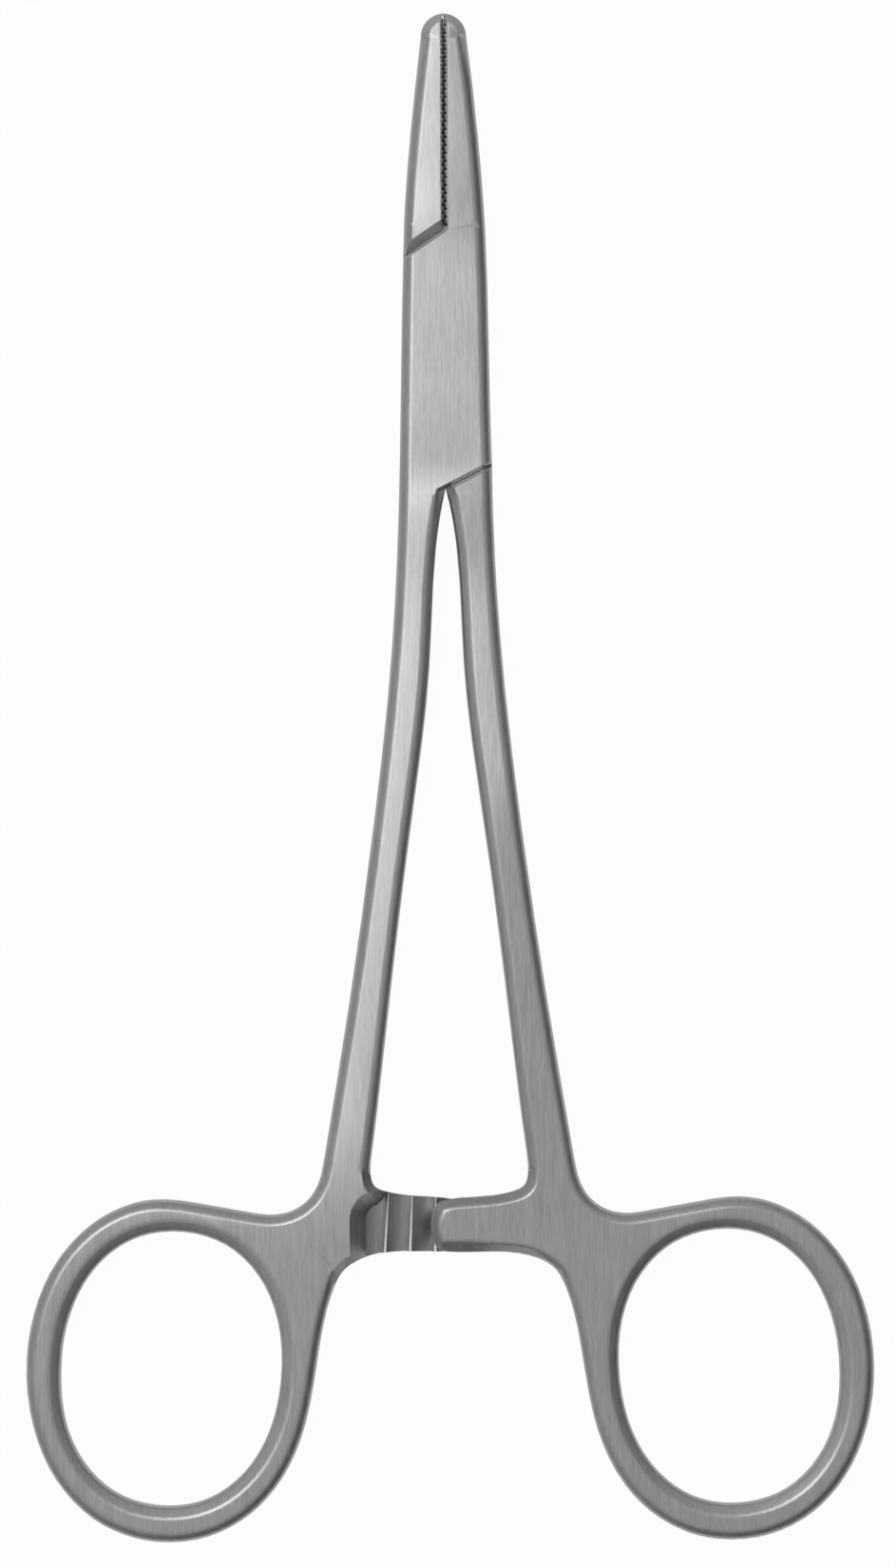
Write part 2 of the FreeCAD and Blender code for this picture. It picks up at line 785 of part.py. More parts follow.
# Checks and export
def check_and_export(bodies):
    doc.recompute()
    for item in doc.Objects:
        if "Invalid" in item.State or "Error" in item.State:
            raise RuntimeError(f"{item.Name} failed: {item.State}")
    os.makedirs("parts", exist_ok=True)
    for body in bodies:
        shape = body.Shape
        if shape.isNull() or not shape.isValid() or len(shape.Solids) != 1:
            raise RuntimeError(f"{body.Label} is not one valid solid")
        shape.exportStep(os.path.join("parts", body.Label + ".step"))
        print(body.Label, round(shape.Volume, 1), "mm3", len(shape.Faces), "faces")


check_and_export([box_half, tongue_half, pivot_pin])
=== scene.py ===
import logging
import math
from collections import Counter
from dataclasses import dataclass, field
from enum import Enum

import bmesh
import bpy
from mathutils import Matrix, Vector


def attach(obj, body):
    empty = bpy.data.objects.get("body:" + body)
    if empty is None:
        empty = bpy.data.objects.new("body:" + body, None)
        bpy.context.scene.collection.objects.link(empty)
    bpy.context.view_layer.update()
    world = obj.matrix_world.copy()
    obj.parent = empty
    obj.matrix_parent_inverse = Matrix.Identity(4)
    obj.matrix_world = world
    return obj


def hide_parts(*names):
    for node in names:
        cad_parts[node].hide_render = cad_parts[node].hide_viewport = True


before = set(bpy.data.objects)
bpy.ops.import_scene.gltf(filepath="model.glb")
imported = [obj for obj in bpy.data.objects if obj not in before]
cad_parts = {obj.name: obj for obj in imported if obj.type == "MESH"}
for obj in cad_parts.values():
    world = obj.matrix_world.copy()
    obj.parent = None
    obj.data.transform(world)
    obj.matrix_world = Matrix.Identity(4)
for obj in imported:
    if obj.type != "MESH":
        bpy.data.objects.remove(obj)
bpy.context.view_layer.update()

logging.basicConfig(level=logging.INFO, format="%(levelname)s %(name)s: %(message)s")
log = logging.getLogger("needle_holder")

MILLIMETRE = 0.001

# How upright the surface normal is on a face, a bevel and a wall
FACE_UPRIGHT = 0.95
BEVEL_UPRIGHT = (0.45, 0.9)
WALL_UPRIGHT = 0.3


class Body(Enum):
    """The rigid bodies of the tool."""

    BOX_SIDE = "box_side"
    TONGUE_SIDE = "tongue_side"


class Facing(Enum):
    """Which way a surface of a forging lies."""

    FACE = "face"
    BEVEL = "bevel"
    WALL = "wall"
    OTHER = "other"

    @classmethod
    def of(cls, face: bmesh.types.BMFace) -> "Facing":
        """Tell a top or bottom face, a bevel and a wall apart by their slope."""
        upright = abs(face.normal.z)
        if upright > FACE_UPRIGHT:
            return cls.FACE
        if BEVEL_UPRIGHT[0] < upright < BEVEL_UPRIGHT[1]:
            return cls.BEVEL
        return cls.WALL if upright < WALL_UPRIGHT else cls.OTHER


# Finishes
def new_node(tree: bpy.types.NodeTree, kind: str, **settings: object) -> bpy.types.Node:
    """Add a shader node and set its plain properties.

    Args:
        tree: Node tree that takes the node.
        kind: Blender's identifier of the node type.
        **settings: Properties of the node to set.

    Returns:
        The new node.
    """
    node = tree.nodes.new(kind)
    for name, value in settings.items():
        setattr(node, name, value)
    return node


def set_tones(ramp: bpy.types.Node, tones: tuple[tuple[float, float], ...]) -> None:
    """Give a colour ramp its grey tones.

    Args:
        ramp: The colour ramp node, with its two stops as new.
        tones: Place and tone of each stop, two or more, in rising order.
    """
    for index, (place, tone) in enumerate(tones):
        if index < 2:
            stop = ramp.color_ramp.elements[index]
            stop.position = place
        else:
            stop = ramp.color_ramp.elements.new(place)
        stop.color = (tone, tone, tone, 1.0)


@dataclass(frozen=True)
class GrainGroup:
    """Shader group of satin-ground steel: fine scratches along the tool and soft clouding."""

    name: str = "ground_steel_grain"
    streak_width: float = 0.3 * MILLIMETRE
    streak_length: float = 6.0 * MILLIMETRE
    hair_width: float = 0.11 * MILLIMETRE
    hair_length: float = 1.8 * MILLIMETRE
    cloud_width: float = 5.0 * MILLIMETRE
    cloud_length: float = 22.0 * MILLIMETRE

    def build(self) -> bpy.types.ShaderNodeTree:
        """Build the group once.

        Returns:
            The node group, with tone, roughness and height outputs.
        """
        found = bpy.data.node_groups.get(self.name)
        if found is not None:
            return found
        group = bpy.data.node_groups.new(self.name, "ShaderNodeTree")
        face = group.interface
        for label, default in (
            ("Streak Contrast", 0.1),
            ("Cloud Contrast", 0.05),
            ("Roughness", 0.35),
            ("Roughness Spread", 0.08),
        ):
            socket = face.new_socket(name=label, in_out="INPUT", socket_type="NodeSocketFloat")
            socket.default_value = default
        for label in ("Tone", "Roughness", "Height"):
            face.new_socket(name=label, in_out="OUTPUT", socket_type="NodeSocketFloat")
        inlet = new_node(group, "NodeGroupInput")
        outlet = new_node(group, "NodeGroupOutput")
        place = new_node(group, "ShaderNodeTexCoord")
        streaks = self.noise(group, place, self.streak_width, self.streak_length, 3.0)
        hairs = self.noise(group, place, self.hair_width, self.hair_length, 2.0)
        clouds = self.noise(group, place, self.cloud_width, self.cloud_length, 2.0)
        grain = self.math(group, "ADD", streaks, hairs)
        grain = self.math(group, "MULTIPLY_ADD", grain, 0.5, -0.5)
        swell = self.math(group, "SUBTRACT", clouds, 0.5)
        tone = self.math(group, "MULTIPLY_ADD", grain, inlet.outputs["Streak Contrast"], 1.0)
        tone = self.math(group, "MULTIPLY_ADD", swell, inlet.outputs["Cloud Contrast"], tone)
        rough = self.math(
            group, "MULTIPLY_ADD", grain, inlet.outputs["Roughness Spread"], inlet.outputs["Roughness"]
        )
        group.links.new(tone, outlet.inputs["Tone"])
        group.links.new(rough, outlet.inputs["Roughness"])
        group.links.new(grain, outlet.inputs["Height"])
        return group

    @staticmethod
    def noise(
        group: bpy.types.ShaderNodeTree,
        place: bpy.types.Node,
        width: float,
        length: float,
        detail: float,
    ) -> bpy.types.NodeSocket:
        """Noise drawn out along the tool.

        Args:
            group: Node tree that takes the nodes.
            place: Texture coordinate node.
            width: Width of one streak, in metres.
            length: Length of one streak, in metres.
            detail: Octaves of the noise.

        Returns:
            The noise's value socket.
        """
        mapping = new_node(group, "ShaderNodeMapping")
        mapping.inputs["Scale"].default_value = (1 / width, 1 / length, 1 / width)
        group.links.new(place.outputs["Object"], mapping.inputs["Vector"])
        noise = new_node(group, "ShaderNodeTexNoise")
        noise.inputs["Scale"].default_value = 1.0
        noise.inputs["Detail"].default_value = detail
        noise.inputs["Roughness"].default_value = 0.55
        group.links.new(mapping.outputs["Vector"], noise.inputs["Vector"])
        return noise.outputs["Fac"]

    @staticmethod
    def math(
        group: bpy.types.ShaderNodeTree, operation: str, *values: object
    ) -> bpy.types.NodeSocket:
        """One math node.

        Args:
            group: Node tree that takes the node.
            operation: The math operation.
            *values: Sockets or plain numbers, in order.

        Returns:
            The result socket.
        """
        node = new_node(group, "ShaderNodeMath", operation=operation)
        for socket, value in zip(node.inputs, values):
            if isinstance(value, bpy.types.NodeSocket):
                group.links.new(value, socket)
            else:
                socket.default_value = value
        return node.outputs[0]


@dataclass(frozen=True)
class HandGrinding:
    """How far the hand-ground faces lean, as slopes to the right, along the tool and up.

    The jaw, the shank and the ring each lean a little their own way; the box is true.
    """

    jaw: tuple[float, float, float] = (0.0, 0.0, 0.0)
    shank: tuple[float, float, float] = (0.0, 0.0, 0.0)
    ring: tuple[float, float, float] = (0.0, 0.0, 0.0)
    crest: tuple[float, float, float] = (-0.12, 0.08, 0.0)
    jaw_crown: float = 0.012 / MILLIMETRE
    jaw_run: tuple[float, float] = (9.0 * MILLIMETRE, 16.0 * MILLIMETRE)
    shank_run: tuple[float, float] = (-9.0 * MILLIMETRE, -14.0 * MILLIMETRE)
    ring_run: tuple[float, float] = (-74.0 * MILLIMETRE, -90.0 * MILLIMETRE)
    name: str = "hand_ground_lean"

    def add_to(self, tree: bpy.types.NodeTree) -> bpy.types.Node:
        """Add the group to a material.

        Args:
            tree: The material's node tree.

        Returns:
            The group node, with a normal output.
        """
        node = new_node(tree, "ShaderNodeGroup", node_tree=self.build())
        node.inputs["Jaw Lean"].default_value = self.jaw
        node.inputs["Shank Lean"].default_value = self.shank
        node.inputs["Ring Lean"].default_value = self.ring
        node.inputs["Crest Lean"].default_value = self.crest
        node.inputs["Jaw Crown"].default_value = self.jaw_crown
        for label, run in (
            ("Jaw", self.jaw_run), ("Shank", self.shank_run), ("Ring", self.ring_run)
        ):
            node.inputs[f"{label} Start"].default_value = run[0]
            node.inputs[f"{label} Full"].default_value = run[1]
        return node

    def build(self) -> bpy.types.ShaderNodeTree:
        """Build the group once.

        Returns:
            The node group.
        """
        found = bpy.data.node_groups.get(self.name)
        if found is not None:
            return found
        group = bpy.data.node_groups.new(self.name, "ShaderNodeTree")
        face = group.interface
        parts = ("Jaw", "Shank", "Ring")
        for label in parts:
            face.new_socket(name=f"{label} Lean", in_out="INPUT", socket_type="NodeSocketVector")
            for end in ("Start", "Full"):
                name = f"{label} {end}"
                face.new_socket(name=name, in_out="INPUT", socket_type="NodeSocketFloat")
        face.new_socket(name="Crest Lean", in_out="INPUT", socket_type="NodeSocketVector")
        face.new_socket(name="Crest Weight", in_out="INPUT", socket_type="NodeSocketFloat")
        face.new_socket(name="Jaw Crown", in_out="INPUT", socket_type="NodeSocketFloat")
        face.new_socket(name="Normal", in_out="OUTPUT", socket_type="NodeSocketVector")
        inlet = new_node(group, "NodeGroupInput")
        outlet = new_node(group, "NodeGroupOutput")
        place = new_node(group, "ShaderNodeTexCoord")
        along = new_node(group, "ShaderNodeSeparateXYZ")
        group.links.new(place.outputs["Object"], along.inputs[0])
        weights = {label: self.weight(group, inlet, along, label) for label in parts}
        over = new_node(group, "ShaderNodeMath", operation="SUBTRACT", use_clamp=True)
        group.links.new(weights["Shank"], over.inputs[0])
        group.links.new(weights["Ring"], over.inputs[1])
        weights["Shank"] = over.outputs[0]
        weights["Crest"] = inlet.outputs["Crest Weight"]
        lean = None
        for label in weights:
            share = new_node(group, "ShaderNodeVectorMath", operation="SCALE")
            group.links.new(inlet.outputs[f"{label} Lean"], share.inputs[0])
            group.links.new(weights[label], share.inputs["Scale"])
            lean = share.outputs[0] if lean is None else self.sum(group, lean, share.outputs[0])
        lean = self.sum(group, lean, self.crown(group, inlet, along, weights["Jaw"]))
        turned = new_node(
            group,
            "ShaderNodeVectorTransform",
            vector_type="VECTOR",
            convert_from="OBJECT",
            convert_to="WORLD",
        )
        group.links.new(lean, turned.inputs[0])
        true = new_node(group, "ShaderNodeNewGeometry")
        leaning = self.sum(group, true.outputs["Normal"], turned.outputs[0])
        unit = new_node(group, "ShaderNodeVectorMath", operation="NORMALIZE")
        group.links.new(leaning, unit.inputs[0])
        group.links.new(unit.outputs[0], outlet.inputs["Normal"])
        return group

    @staticmethod
    def crown(
        group: bpy.types.ShaderNodeTree,
        inlet: bpy.types.Node,
        along: bpy.types.Node,
        weight: bpy.types.NodeSocket,
    ) -> bpy.types.NodeSocket:
        """How the jaws' faces fall away from the seam, more the farther out.

        Args:
            group: Node tree that takes the nodes.
            inlet: The group's input node.
            along: Node with the split object coordinates.
            weight: How much of the jaws' shape holds.

        Returns:
            A socket with the lean to add.
        """
        fall = new_node(group, "ShaderNodeMath", operation="MULTIPLY")
        group.links.new(along.outputs["X"], fall.inputs[0])
        group.links.new(inlet.outputs["Jaw Crown"], fall.inputs[1])
        share = new_node(group, "ShaderNodeMath", operation="MULTIPLY")
        group.links.new(fall.outputs[0], share.inputs[0])
        group.links.new(weight, share.inputs[1])
        lean = new_node(group, "ShaderNodeCombineXYZ")
        group.links.new(share.outputs[0], lean.inputs["X"])
        return lean.outputs[0]

    @staticmethod
    def weight(
        group: bpy.types.ShaderNodeTree, inlet: bpy.types.Node, along: bpy.types.Node, label: str
    ) -> bpy.types.NodeSocket:
        """How much of one part's lean holds at a place along the tool.

        Args:
            group: Node tree that takes the node.
            inlet: The group's input node.
            along: Node with the split object coordinates.
            label: The part.

        Returns:
            A socket that goes from 0 to 1.
        """
        node = new_node(group, "ShaderNodeMapRange", interpolation_type="SMOOTHSTEP")
        group.links.new(along.outputs["Y"], node.inputs["Value"])
        group.links.new(inlet.outputs[f"{label} Start"], node.inputs["From Min"])
        group.links.new(inlet.outputs[f"{label} Full"], node.inputs["From Max"])
        return node.outputs["Result"]

    @staticmethod
    def sum(
        group: bpy.types.ShaderNodeTree, first: bpy.types.NodeSocket, second: bpy.types.NodeSocket
    ) -> bpy.types.NodeSocket:
        """Add two vectors.

        Args:
            group: Node tree that takes the node.
            first: The one vector.
            second: The other vector.

        Returns:
            Their sum.
        """
        node = new_node(group, "ShaderNodeVectorMath", operation="ADD")
        group.links.new(first, node.inputs[0])
        group.links.new(second, node.inputs[1])
        return node.outputs[0]


@dataclass(frozen=True)
class ShadeAndHighlightZone:
    """Shader group that paints shade over a zone cut by a mill or a file, darker on steeper surfaces,
    and paints a highlight where its tones pass 1.

    Attributes:
        name: Name of the group.
        reach: Where the zone starts and ends across the tool, in metres.
        along: Where it starts and ends along the tool, in metres.
        height: Where it starts and ends in height, in metres.
        tones: How dark the painted shade is, and how bright the painted highlight, by the upright part
            of the surface normal.
        crest: Over which upright part a surface counts as the polished crest of a tooth.
        softness: How soft the zone's borders are, in metres.
    """

    name: str
    reach: tuple[float, float]
    along: tuple[float, float]
    height: tuple[float, float]
    tones: tuple[tuple[float, float], ...]
    crest: float = 0.985
    softness: float = 0.05 * MILLIMETRE

    def add_to(self, tree: bpy.types.NodeTree) -> bpy.types.Node:
        """Add the group to a material.

        Args:
            tree: The material's node tree.

        Returns:
            The group node, with the painted shade and highlight as a tone output and a mask of the
            crests.
        """
        group = bpy.data.node_groups.new(self.name, "ShaderNodeTree")
        for label in ("Tone", "Crest"):
            group.interface.new_socket(name=label, in_out="OUTPUT", socket_type="NodeSocketFloat")
        outlet = new_node(group, "NodeGroupOutput")
        mask = self.mask(group)
        surface = new_node(group, "ShaderNodeNewGeometry")
        split = new_node(group, "ShaderNodeSeparateXYZ")
        upright = new_node(group, "ShaderNodeMath", operation="ABSOLUTE")
        ramp = new_node(group, "ShaderNodeValToRGB")
        set_tones(ramp, self.tones)
        blend = new_node(group, "ShaderNodeMix", data_type="FLOAT")
        blend.inputs["A"].default_value = 1.0
        crest = new_node(group, "ShaderNodeMath", operation="GREATER_THAN")
        crest.inputs[1].default_value = self.crest
        both = new_node(group, "ShaderNodeMath", operation="MULTIPLY")
        group.links.new(surface.outputs["Normal"], split.inputs[0])
        group.links.new(split.outputs["Z"], upright.inputs[0])
        group.links.new(upright.outputs[0], ramp.inputs["Fac"])
        group.links.new(mask, blend.inputs["Factor"])
        group.links.new(ramp.outputs["Color"], blend.inputs["B"])
        group.links.new(upright.outputs[0], crest.inputs[0])
        group.links.new(crest.outputs[0], both.inputs[0])
        group.links.new(mask, both.inputs[1])
        group.links.new(blend.outputs["Result"], outlet.inputs["Tone"])
        group.links.new(both.outputs[0], outlet.inputs["Crest"])
        return new_node(tree, "ShaderNodeGroup", node_tree=group)

    def mask(self, group: bpy.types.ShaderNodeTree) -> bpy.types.NodeSocket:
        """Mask of the zone.

        Args:
            group: Node tree that takes the nodes.

        Returns:
            A socket that is 1 inside the zone and 0 outside.
        """
        place = new_node(group, "ShaderNodeTexCoord")
        split = new_node(group, "ShaderNodeSeparateXYZ")
        group.links.new(place.outputs["Object"], split.inputs[0])
        mask = None
        for axis, span in (("X", self.reach), ("Y", self.along), ("Z", self.height)):
            for low, high in (
                (span[0], span[0] + self.softness), (span[1], span[1] - self.softness)
            ):
                side = new_node(group, "ShaderNodeMapRange")
                group.links.new(split.outputs[axis], side.inputs["Value"])
                side.inputs["From Min"].default_value = low
                side.inputs["From Max"].default_value = high
                if mask is None:
                    mask = side.outputs["Result"]
                    continue
                both = new_node(group, "ShaderNodeMath", operation="MULTIPLY")
                group.links.new(mask, both.inputs[0])
                group.links.new(side.outputs["Result"], both.inputs[1])
                mask = both.outputs[0]
        return mask


@dataclass(frozen=True)
class GroundSteel:
    """Satin stainless steel, ground along the tool."""

    name: str
    grinding: HandGrinding = HandGrinding()
    shade_zones: tuple[ShadeAndHighlightZone, ...] = ()
    colour: tuple[float, float, float] = (0.6, 0.597, 0.585)
    roughness: float = 0.33
    roughness_spread: float = 0.16
    streak_contrast: float = 0.8
    cloud_contrast: float = 0.14
    scratch_depth: float = 0.012 * MILLIMETRE

    def build(self) -> bpy.types.Material:
        """Build the material.

        Returns:
            The material, ready to put on a piece.
        """
        material = bpy.data.materials.new(self.name)
        material.use_nodes = True
        tree = material.node_tree
        tree.nodes.clear()
        grain = new_node(tree, "ShaderNodeGroup", node_tree=GrainGroup().build())
        grain.inputs["Streak Contrast"].default_value = self.streak_contrast
        grain.inputs["Cloud Contrast"].default_value = self.cloud_contrast
        grain.inputs["Roughness"].default_value = self.roughness
        grain.inputs["Roughness Spread"].default_value = self.roughness_spread
        tint = new_node(tree, "ShaderNodeMix", data_type="RGBA", blend_type="MULTIPLY")
        tint.inputs["Factor"].default_value = 1.0
        tint.inputs["A"].default_value = (*self.colour, 1.0)
        colour = tint.outputs["Result"]
        lean = self.grinding.add_to(tree)
        # Each zone multiplies painted shade into the colour of its recess or groove, and a painted
        # highlight onto its crests where its tones pass 1.
        for cut in self.shade_zones:
            zone = cut.add_to(tree)
            darker = new_node(tree, "ShaderNodeMix", data_type="RGBA", blend_type="MULTIPLY")
            darker.inputs["Factor"].default_value = 1.0
            tree.links.new(zone.outputs["Tone"], darker.inputs["B"])
            tree.links.new(colour, darker.inputs["A"])
            colour = darker.outputs["Result"]
            if cut.crest < 1.0:
                tree.links.new(zone.outputs["Crest"], lean.inputs["Crest Weight"])
        bump = new_node(tree, "ShaderNodeBump")
        bump.inputs["Distance"].default_value = self.scratch_depth
        tree.links.new(lean.outputs["Normal"], bump.inputs["Normal"])
        shader = new_node(tree, "ShaderNodeBsdfPrincipled")
        shader.inputs["Metallic"].default_value = 1.0
        output = new_node(tree, "ShaderNodeOutputMaterial")
        tree.links.new(grain.outputs["Tone"], tint.inputs["B"])
        tree.links.new(colour, shader.inputs["Base Color"])
        tree.links.new(grain.outputs["Roughness"], shader.inputs["Roughness"])
        tree.links.new(grain.outputs["Height"], bump.inputs["Height"])
        tree.links.new(bump.outputs["Normal"], shader.inputs["Normal"])
        tree.links.new(shader.outputs["BSDF"], output.inputs["Surface"])
        return material


# Metal pieces
@dataclass
class SteelPiece:
    """A steel piece of the tool, finished from its solid."""

    node: str
    name: str
    body: Body
    finish: GroundSteel
    merge_distance: float = 0.001 * MILLIMETRE
    smooth_angle: float = math.radians(22.0)

    def build(self) -> bpy.types.Object:
        """Copy the solid, merge it, finish its edges and dress it.

        Returns:
            The finished piece.
        """
        mesh = bpy.data.meshes.new(self.name)
        shape = bmesh.new()
        shape.from_mesh(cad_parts[self.node].data)
        bmesh.ops.remove_doubles(shape, verts=shape.verts, dist=self.merge_distance)
        bmesh.ops.recalc_face_normals(shape, faces=shape.faces)
        self.finish_edges(shape)
        self.shade(shape)
        shape.to_mesh(mesh)
        shape.free()
        piece = bpy.data.objects.new(self.name, mesh)
        bpy.context.scene.collection.objects.link(piece)
        mesh.materials.append(self.finish.build())
        self.even_shading(piece)
        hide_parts(self.node)
        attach(piece, self.body.value)
        log.info("%s: %d faces", self.name, len(mesh.polygons))
        return piece

    def finish_edges(self, shape: bmesh.types.BMesh) -> None:
        """Round the edges; a plain piece keeps them as cut."""

    def shade(self, shape: bmesh.types.BMesh) -> None:
        """Smooth every face, and keep each edge sharper than the smooth angle."""
        for face in shape.faces:
            face.smooth = True
            face.material_index = 0
        for edge in shape.edges:
            edge.smooth = edge.calc_face_angle(math.pi) < self.smooth_angle or self.rolls(edge)

    def rolls(self, edge: bmesh.types.BMEdge) -> bool:
        """Tell whether the surface rolls on over an edge.

        Args:
            edge: The edge.

        Returns:
            True where the edge only stands for a curved surface.
        """
        return False

    @staticmethod
    def even_shading(piece: bpy.types.Object) -> None:
        """Let the large faces lead the shading, so that roundings don't bleed into them."""
        modifier = piece.modifiers.new("even_shading", "WEIGHTED_NORMAL")
        modifier.mode = "FACE_AREA_WITH_ANGLE"
        modifier.keep_sharp = True
        modifier.use_face_influence = True


@dataclass
class RivetedPin(SteelPiece):
    """The pin, ground flush, so that its outline is lost in the ground face of the box."""

    spread: float = 1.02
    stand: float = 0.002 * MILLIMETRE
    middle: float = 2.7 * MILLIMETRE
    end: float = 2.69 * MILLIMETRE

    def finish_edges(self, shape: bmesh.types.BMesh) -> None:
        """Spread the two ground ends over the seam round them."""
        for corner in shape.verts:
            height = corner.co.z - self.middle
            if abs(height) > self.end:
                corner.co.x *= self.spread
                corner.co.y *= self.spread
                corner.co.z += math.copysign(self.stand, height)


@dataclass(frozen=True)
class CutRegions:
    """Where a forging was cut by a mill or a file, in millimetres from the pivot."""

    middle: float = 2.7
    seam_reach: float = 0.75
    seam_start: float = 8.5
    shoulder_reach: float = 3.2
    shoulder_run: tuple[float, float] = (-13.5, 13.4)
    relief_run: tuple[float, float] = (-90.8, -79.3)
    relief_inner: float = -3.0
    relief_outer: float = 11.6
    relief_outer_plain: float = 8.6
    cut_level: float = -0.2
    teeth_run: tuple[float, float] = (-91.0, -79.0)
    crest_reach: float = 9.0
    crest_level: float = 0.1
    flank_reach: float = 10.4
    flank_rise: float = 0.5
    flank_angle: float = 1.0

    def has_teeth(self, spot: Vector, reach: float) -> bool:
        """Tell whether a spot lies among the ratchet's teeth, within a reach to each side."""
        return abs(spot.x) < reach and self.teeth_run[0] < spot.y < self.teeth_run[1]


@dataclass
class ForgedHalf(SteelPiece):
    """One half of the tool: ring, ratchet bar, shank, its share of the box lock and jaw."""

    outer_rounding: float = 0.38 * MILLIMETRE
    crease_rounding: float = 0.25 * MILLIMETRE
    outer_lift: float = 0.3 * MILLIMETRE
    lift_run: float = 4.0 * MILLIMETRE
    jaw_strips: tuple[float, float] = (13.5 * MILLIMETRE, 31.5 * MILLIMETRE)
    jaw_core: float = 0.5 * MILLIMETRE
    tip_start: float = 31.6 * MILLIMETRE
    strip: float = 1.5 * MILLIMETRE
    strip_angle: float = math.radians(3.0)
    crest_rounding: float = 0.08 * MILLIMETRE
    tooth_run: float = 3.0 * MILLIMETRE
    middle: float = 2.7 * MILLIMETRE
    ring_offset: float = 27.4 * MILLIMETRE
    ring_drop: float = -98.8 * MILLIMETRE
    hole_reach: float = 15.5 * MILLIMETRE
    chamfer_growth: float = 0.2 * MILLIMETRE
    seam_half: float = 0.0155 * MILLIMETRE
    seam_closed: float = 0.002 * MILLIMETRE
    join_angle: float = math.radians(6.0)
    join_skew: float = math.radians(60.0)
    regions: CutRegions = CutRegions()

    def finish_edges(self, shape: bmesh.types.BMesh) -> None:
        """Round the creases and outer edges of the forging."""
        bmesh.ops.join_triangles(
            shape,
            faces=shape.faces,
            angle_face_threshold=self.join_angle,
            angle_shape_threshold=self.join_skew,
        )
        self.even_jaw(shape)
        self.grow_hole_chamfer(shape)
        self.close_seam(shape)
        outer = self.edges_between(shape, Facing.BEVEL, Facing.WALL)
        meeting = Counter(corner for edge in outer for corner in edge.verts)
        for corner, edges in meeting.items():
            if edges == 2:
                share = min(1.0, (self.tip_start - corner.co.y) / self.lift_run)
                corner.co.z += math.copysign(share * self.outer_lift, corner.co.z - self.middle)
        shape.normal_update()
        self.round_edges(shape, outer, self.outer_rounding, 3)
        crease = self.edges_between(shape, Facing.FACE, Facing.BEVEL)
        self.round_edges(shape, crease, self.crease_rounding, 3)
        self.round_edges(shape, self.crests(shape), self.crest_rounding, 2)

    def close_seam(self, shape: bmesh.types.BMesh) -> None:
        """Let the lands between the jaw's grooves all but meet those of the other jaw.

        Args:
            shape: The mesh.
        """
        side = 1 if self.body is Body.BOX_SIDE else -1
        for corner in shape.verts:
            across = side * corner.co.x
            if corner.co.y > self.jaw_strips[0] and 0.0 < across < self.seam_half:
                corner.co.x = side * self.seam_closed

    def grow_hole_chamfer(self, shape: bmesh.types.BMesh) -> None:
        """Carry the chamfer round the ring's hole a little farther over the ring's faces.

        Args:
            shape: The mesh.
        """
        side = -1 if self.body is Body.BOX_SIDE else 1
        centre = Vector((side * self.ring_offset, self.ring_drop, 0.0))
        found = {}
        for edge in self.edges_between(shape, Facing.FACE, Facing.BEVEL):
            chamfer = next(face for face in edge.link_faces if Facing.of(face) is Facing.BEVEL)
            for corner in edge.verts:
                spoke = corner.co - centre
                spoke.z = 0.0
                if spoke.length < self.hole_reach and chamfer.normal.dot(spoke) < 0.0:
                    found[corner] = spoke.normalized()
        for corner, outward in found.items():
            corner.co += outward * self.chamfer_growth
        shape.normal_update()

    def even_jaw(self, shape: bmesh.types.BMesh) -> None:
        """Lay the jaw's faces out in even strips across it, so that its creases round cleanly.

        Args:
            shape: The mesh.
        """
        start, end = self.jaw_strips
        for step in range(round((end - start) / self.strip) + 1):
            bmesh.ops.bisect_plane(
                shape,
                geom=[*shape.verts, *shape.edges, *shape.faces],
                dist=self.merge_distance,
                plane_co=(0, start + step * self.strip, 0),
                plane_no=(0, 1, 0),
            )
        shape.normal_update()
        spare = []
        for edge in shape.edges:
            first, second = (corner.co for corner in edge.verts)
            crosses = abs(first.y - second.y) < 2 * self.merge_distance
            inside = min(first.y, second.y) > start - self.merge_distance
            if crosses or not inside or len(edge.link_faces) != 2:
                continue
            kinds = {Facing.of(face) for face in edge.link_faces}
            level = kinds in ({Facing.FACE}, {Facing.BEVEL}, {Facing.WALL})
            outside = max(abs(first.x), abs(second.x)) > self.jaw_core
            if level and outside and edge.calc_face_angle() < self.strip_angle:
                spare.append(edge)
        bmesh.ops.dissolve_edges(shape, edges=spare, use_verts=True)
        shape.normal_update()

    def crests(self, shape: bmesh.types.BMesh) -> list[bmesh.types.BMEdge]:
        """Long edges where the crest of a ratchet tooth breaks off to its rake.

        Args:
            shape: The mesh.

        Returns:
            The edges found.
        """
        wanted = {Facing.FACE, Facing.WALL}
        found = []
        for edge in shape.edges:
            spot = (edge.verts[0].co + edge.verts[1].co) / 2 / MILLIMETRE
            inside = self.regions.has_teeth(spot, self.regions.crest_reach)
            if inside and edge.calc_length() > self.tooth_run:
                if edge.is_convex and {Facing.of(face) for face in edge.link_faces} == wanted:
                    if abs(spot.z - self.regions.middle) < self.regions.crest_level:
                        found.append(edge)
        return found

    def rolls(self, edge: bmesh.types.BMEdge) -> bool:
        """Roll the hollow flanks of the ratchet teeth and the wall of their relief."""
        first, second = (corner.co for corner in edge.verts)
        run = (second - first).normalized()
        spot = (first + second) / 2 / MILLIMETRE
        regions = self.regions
        hollow = edge.is_manifold and not edge.is_convex
        level = abs(run.z) < regions.flank_rise
        shallow = edge.calc_face_angle(math.pi) < regions.flank_angle
        return regions.has_teeth(spot, regions.flank_reach) and hollow and level and shallow

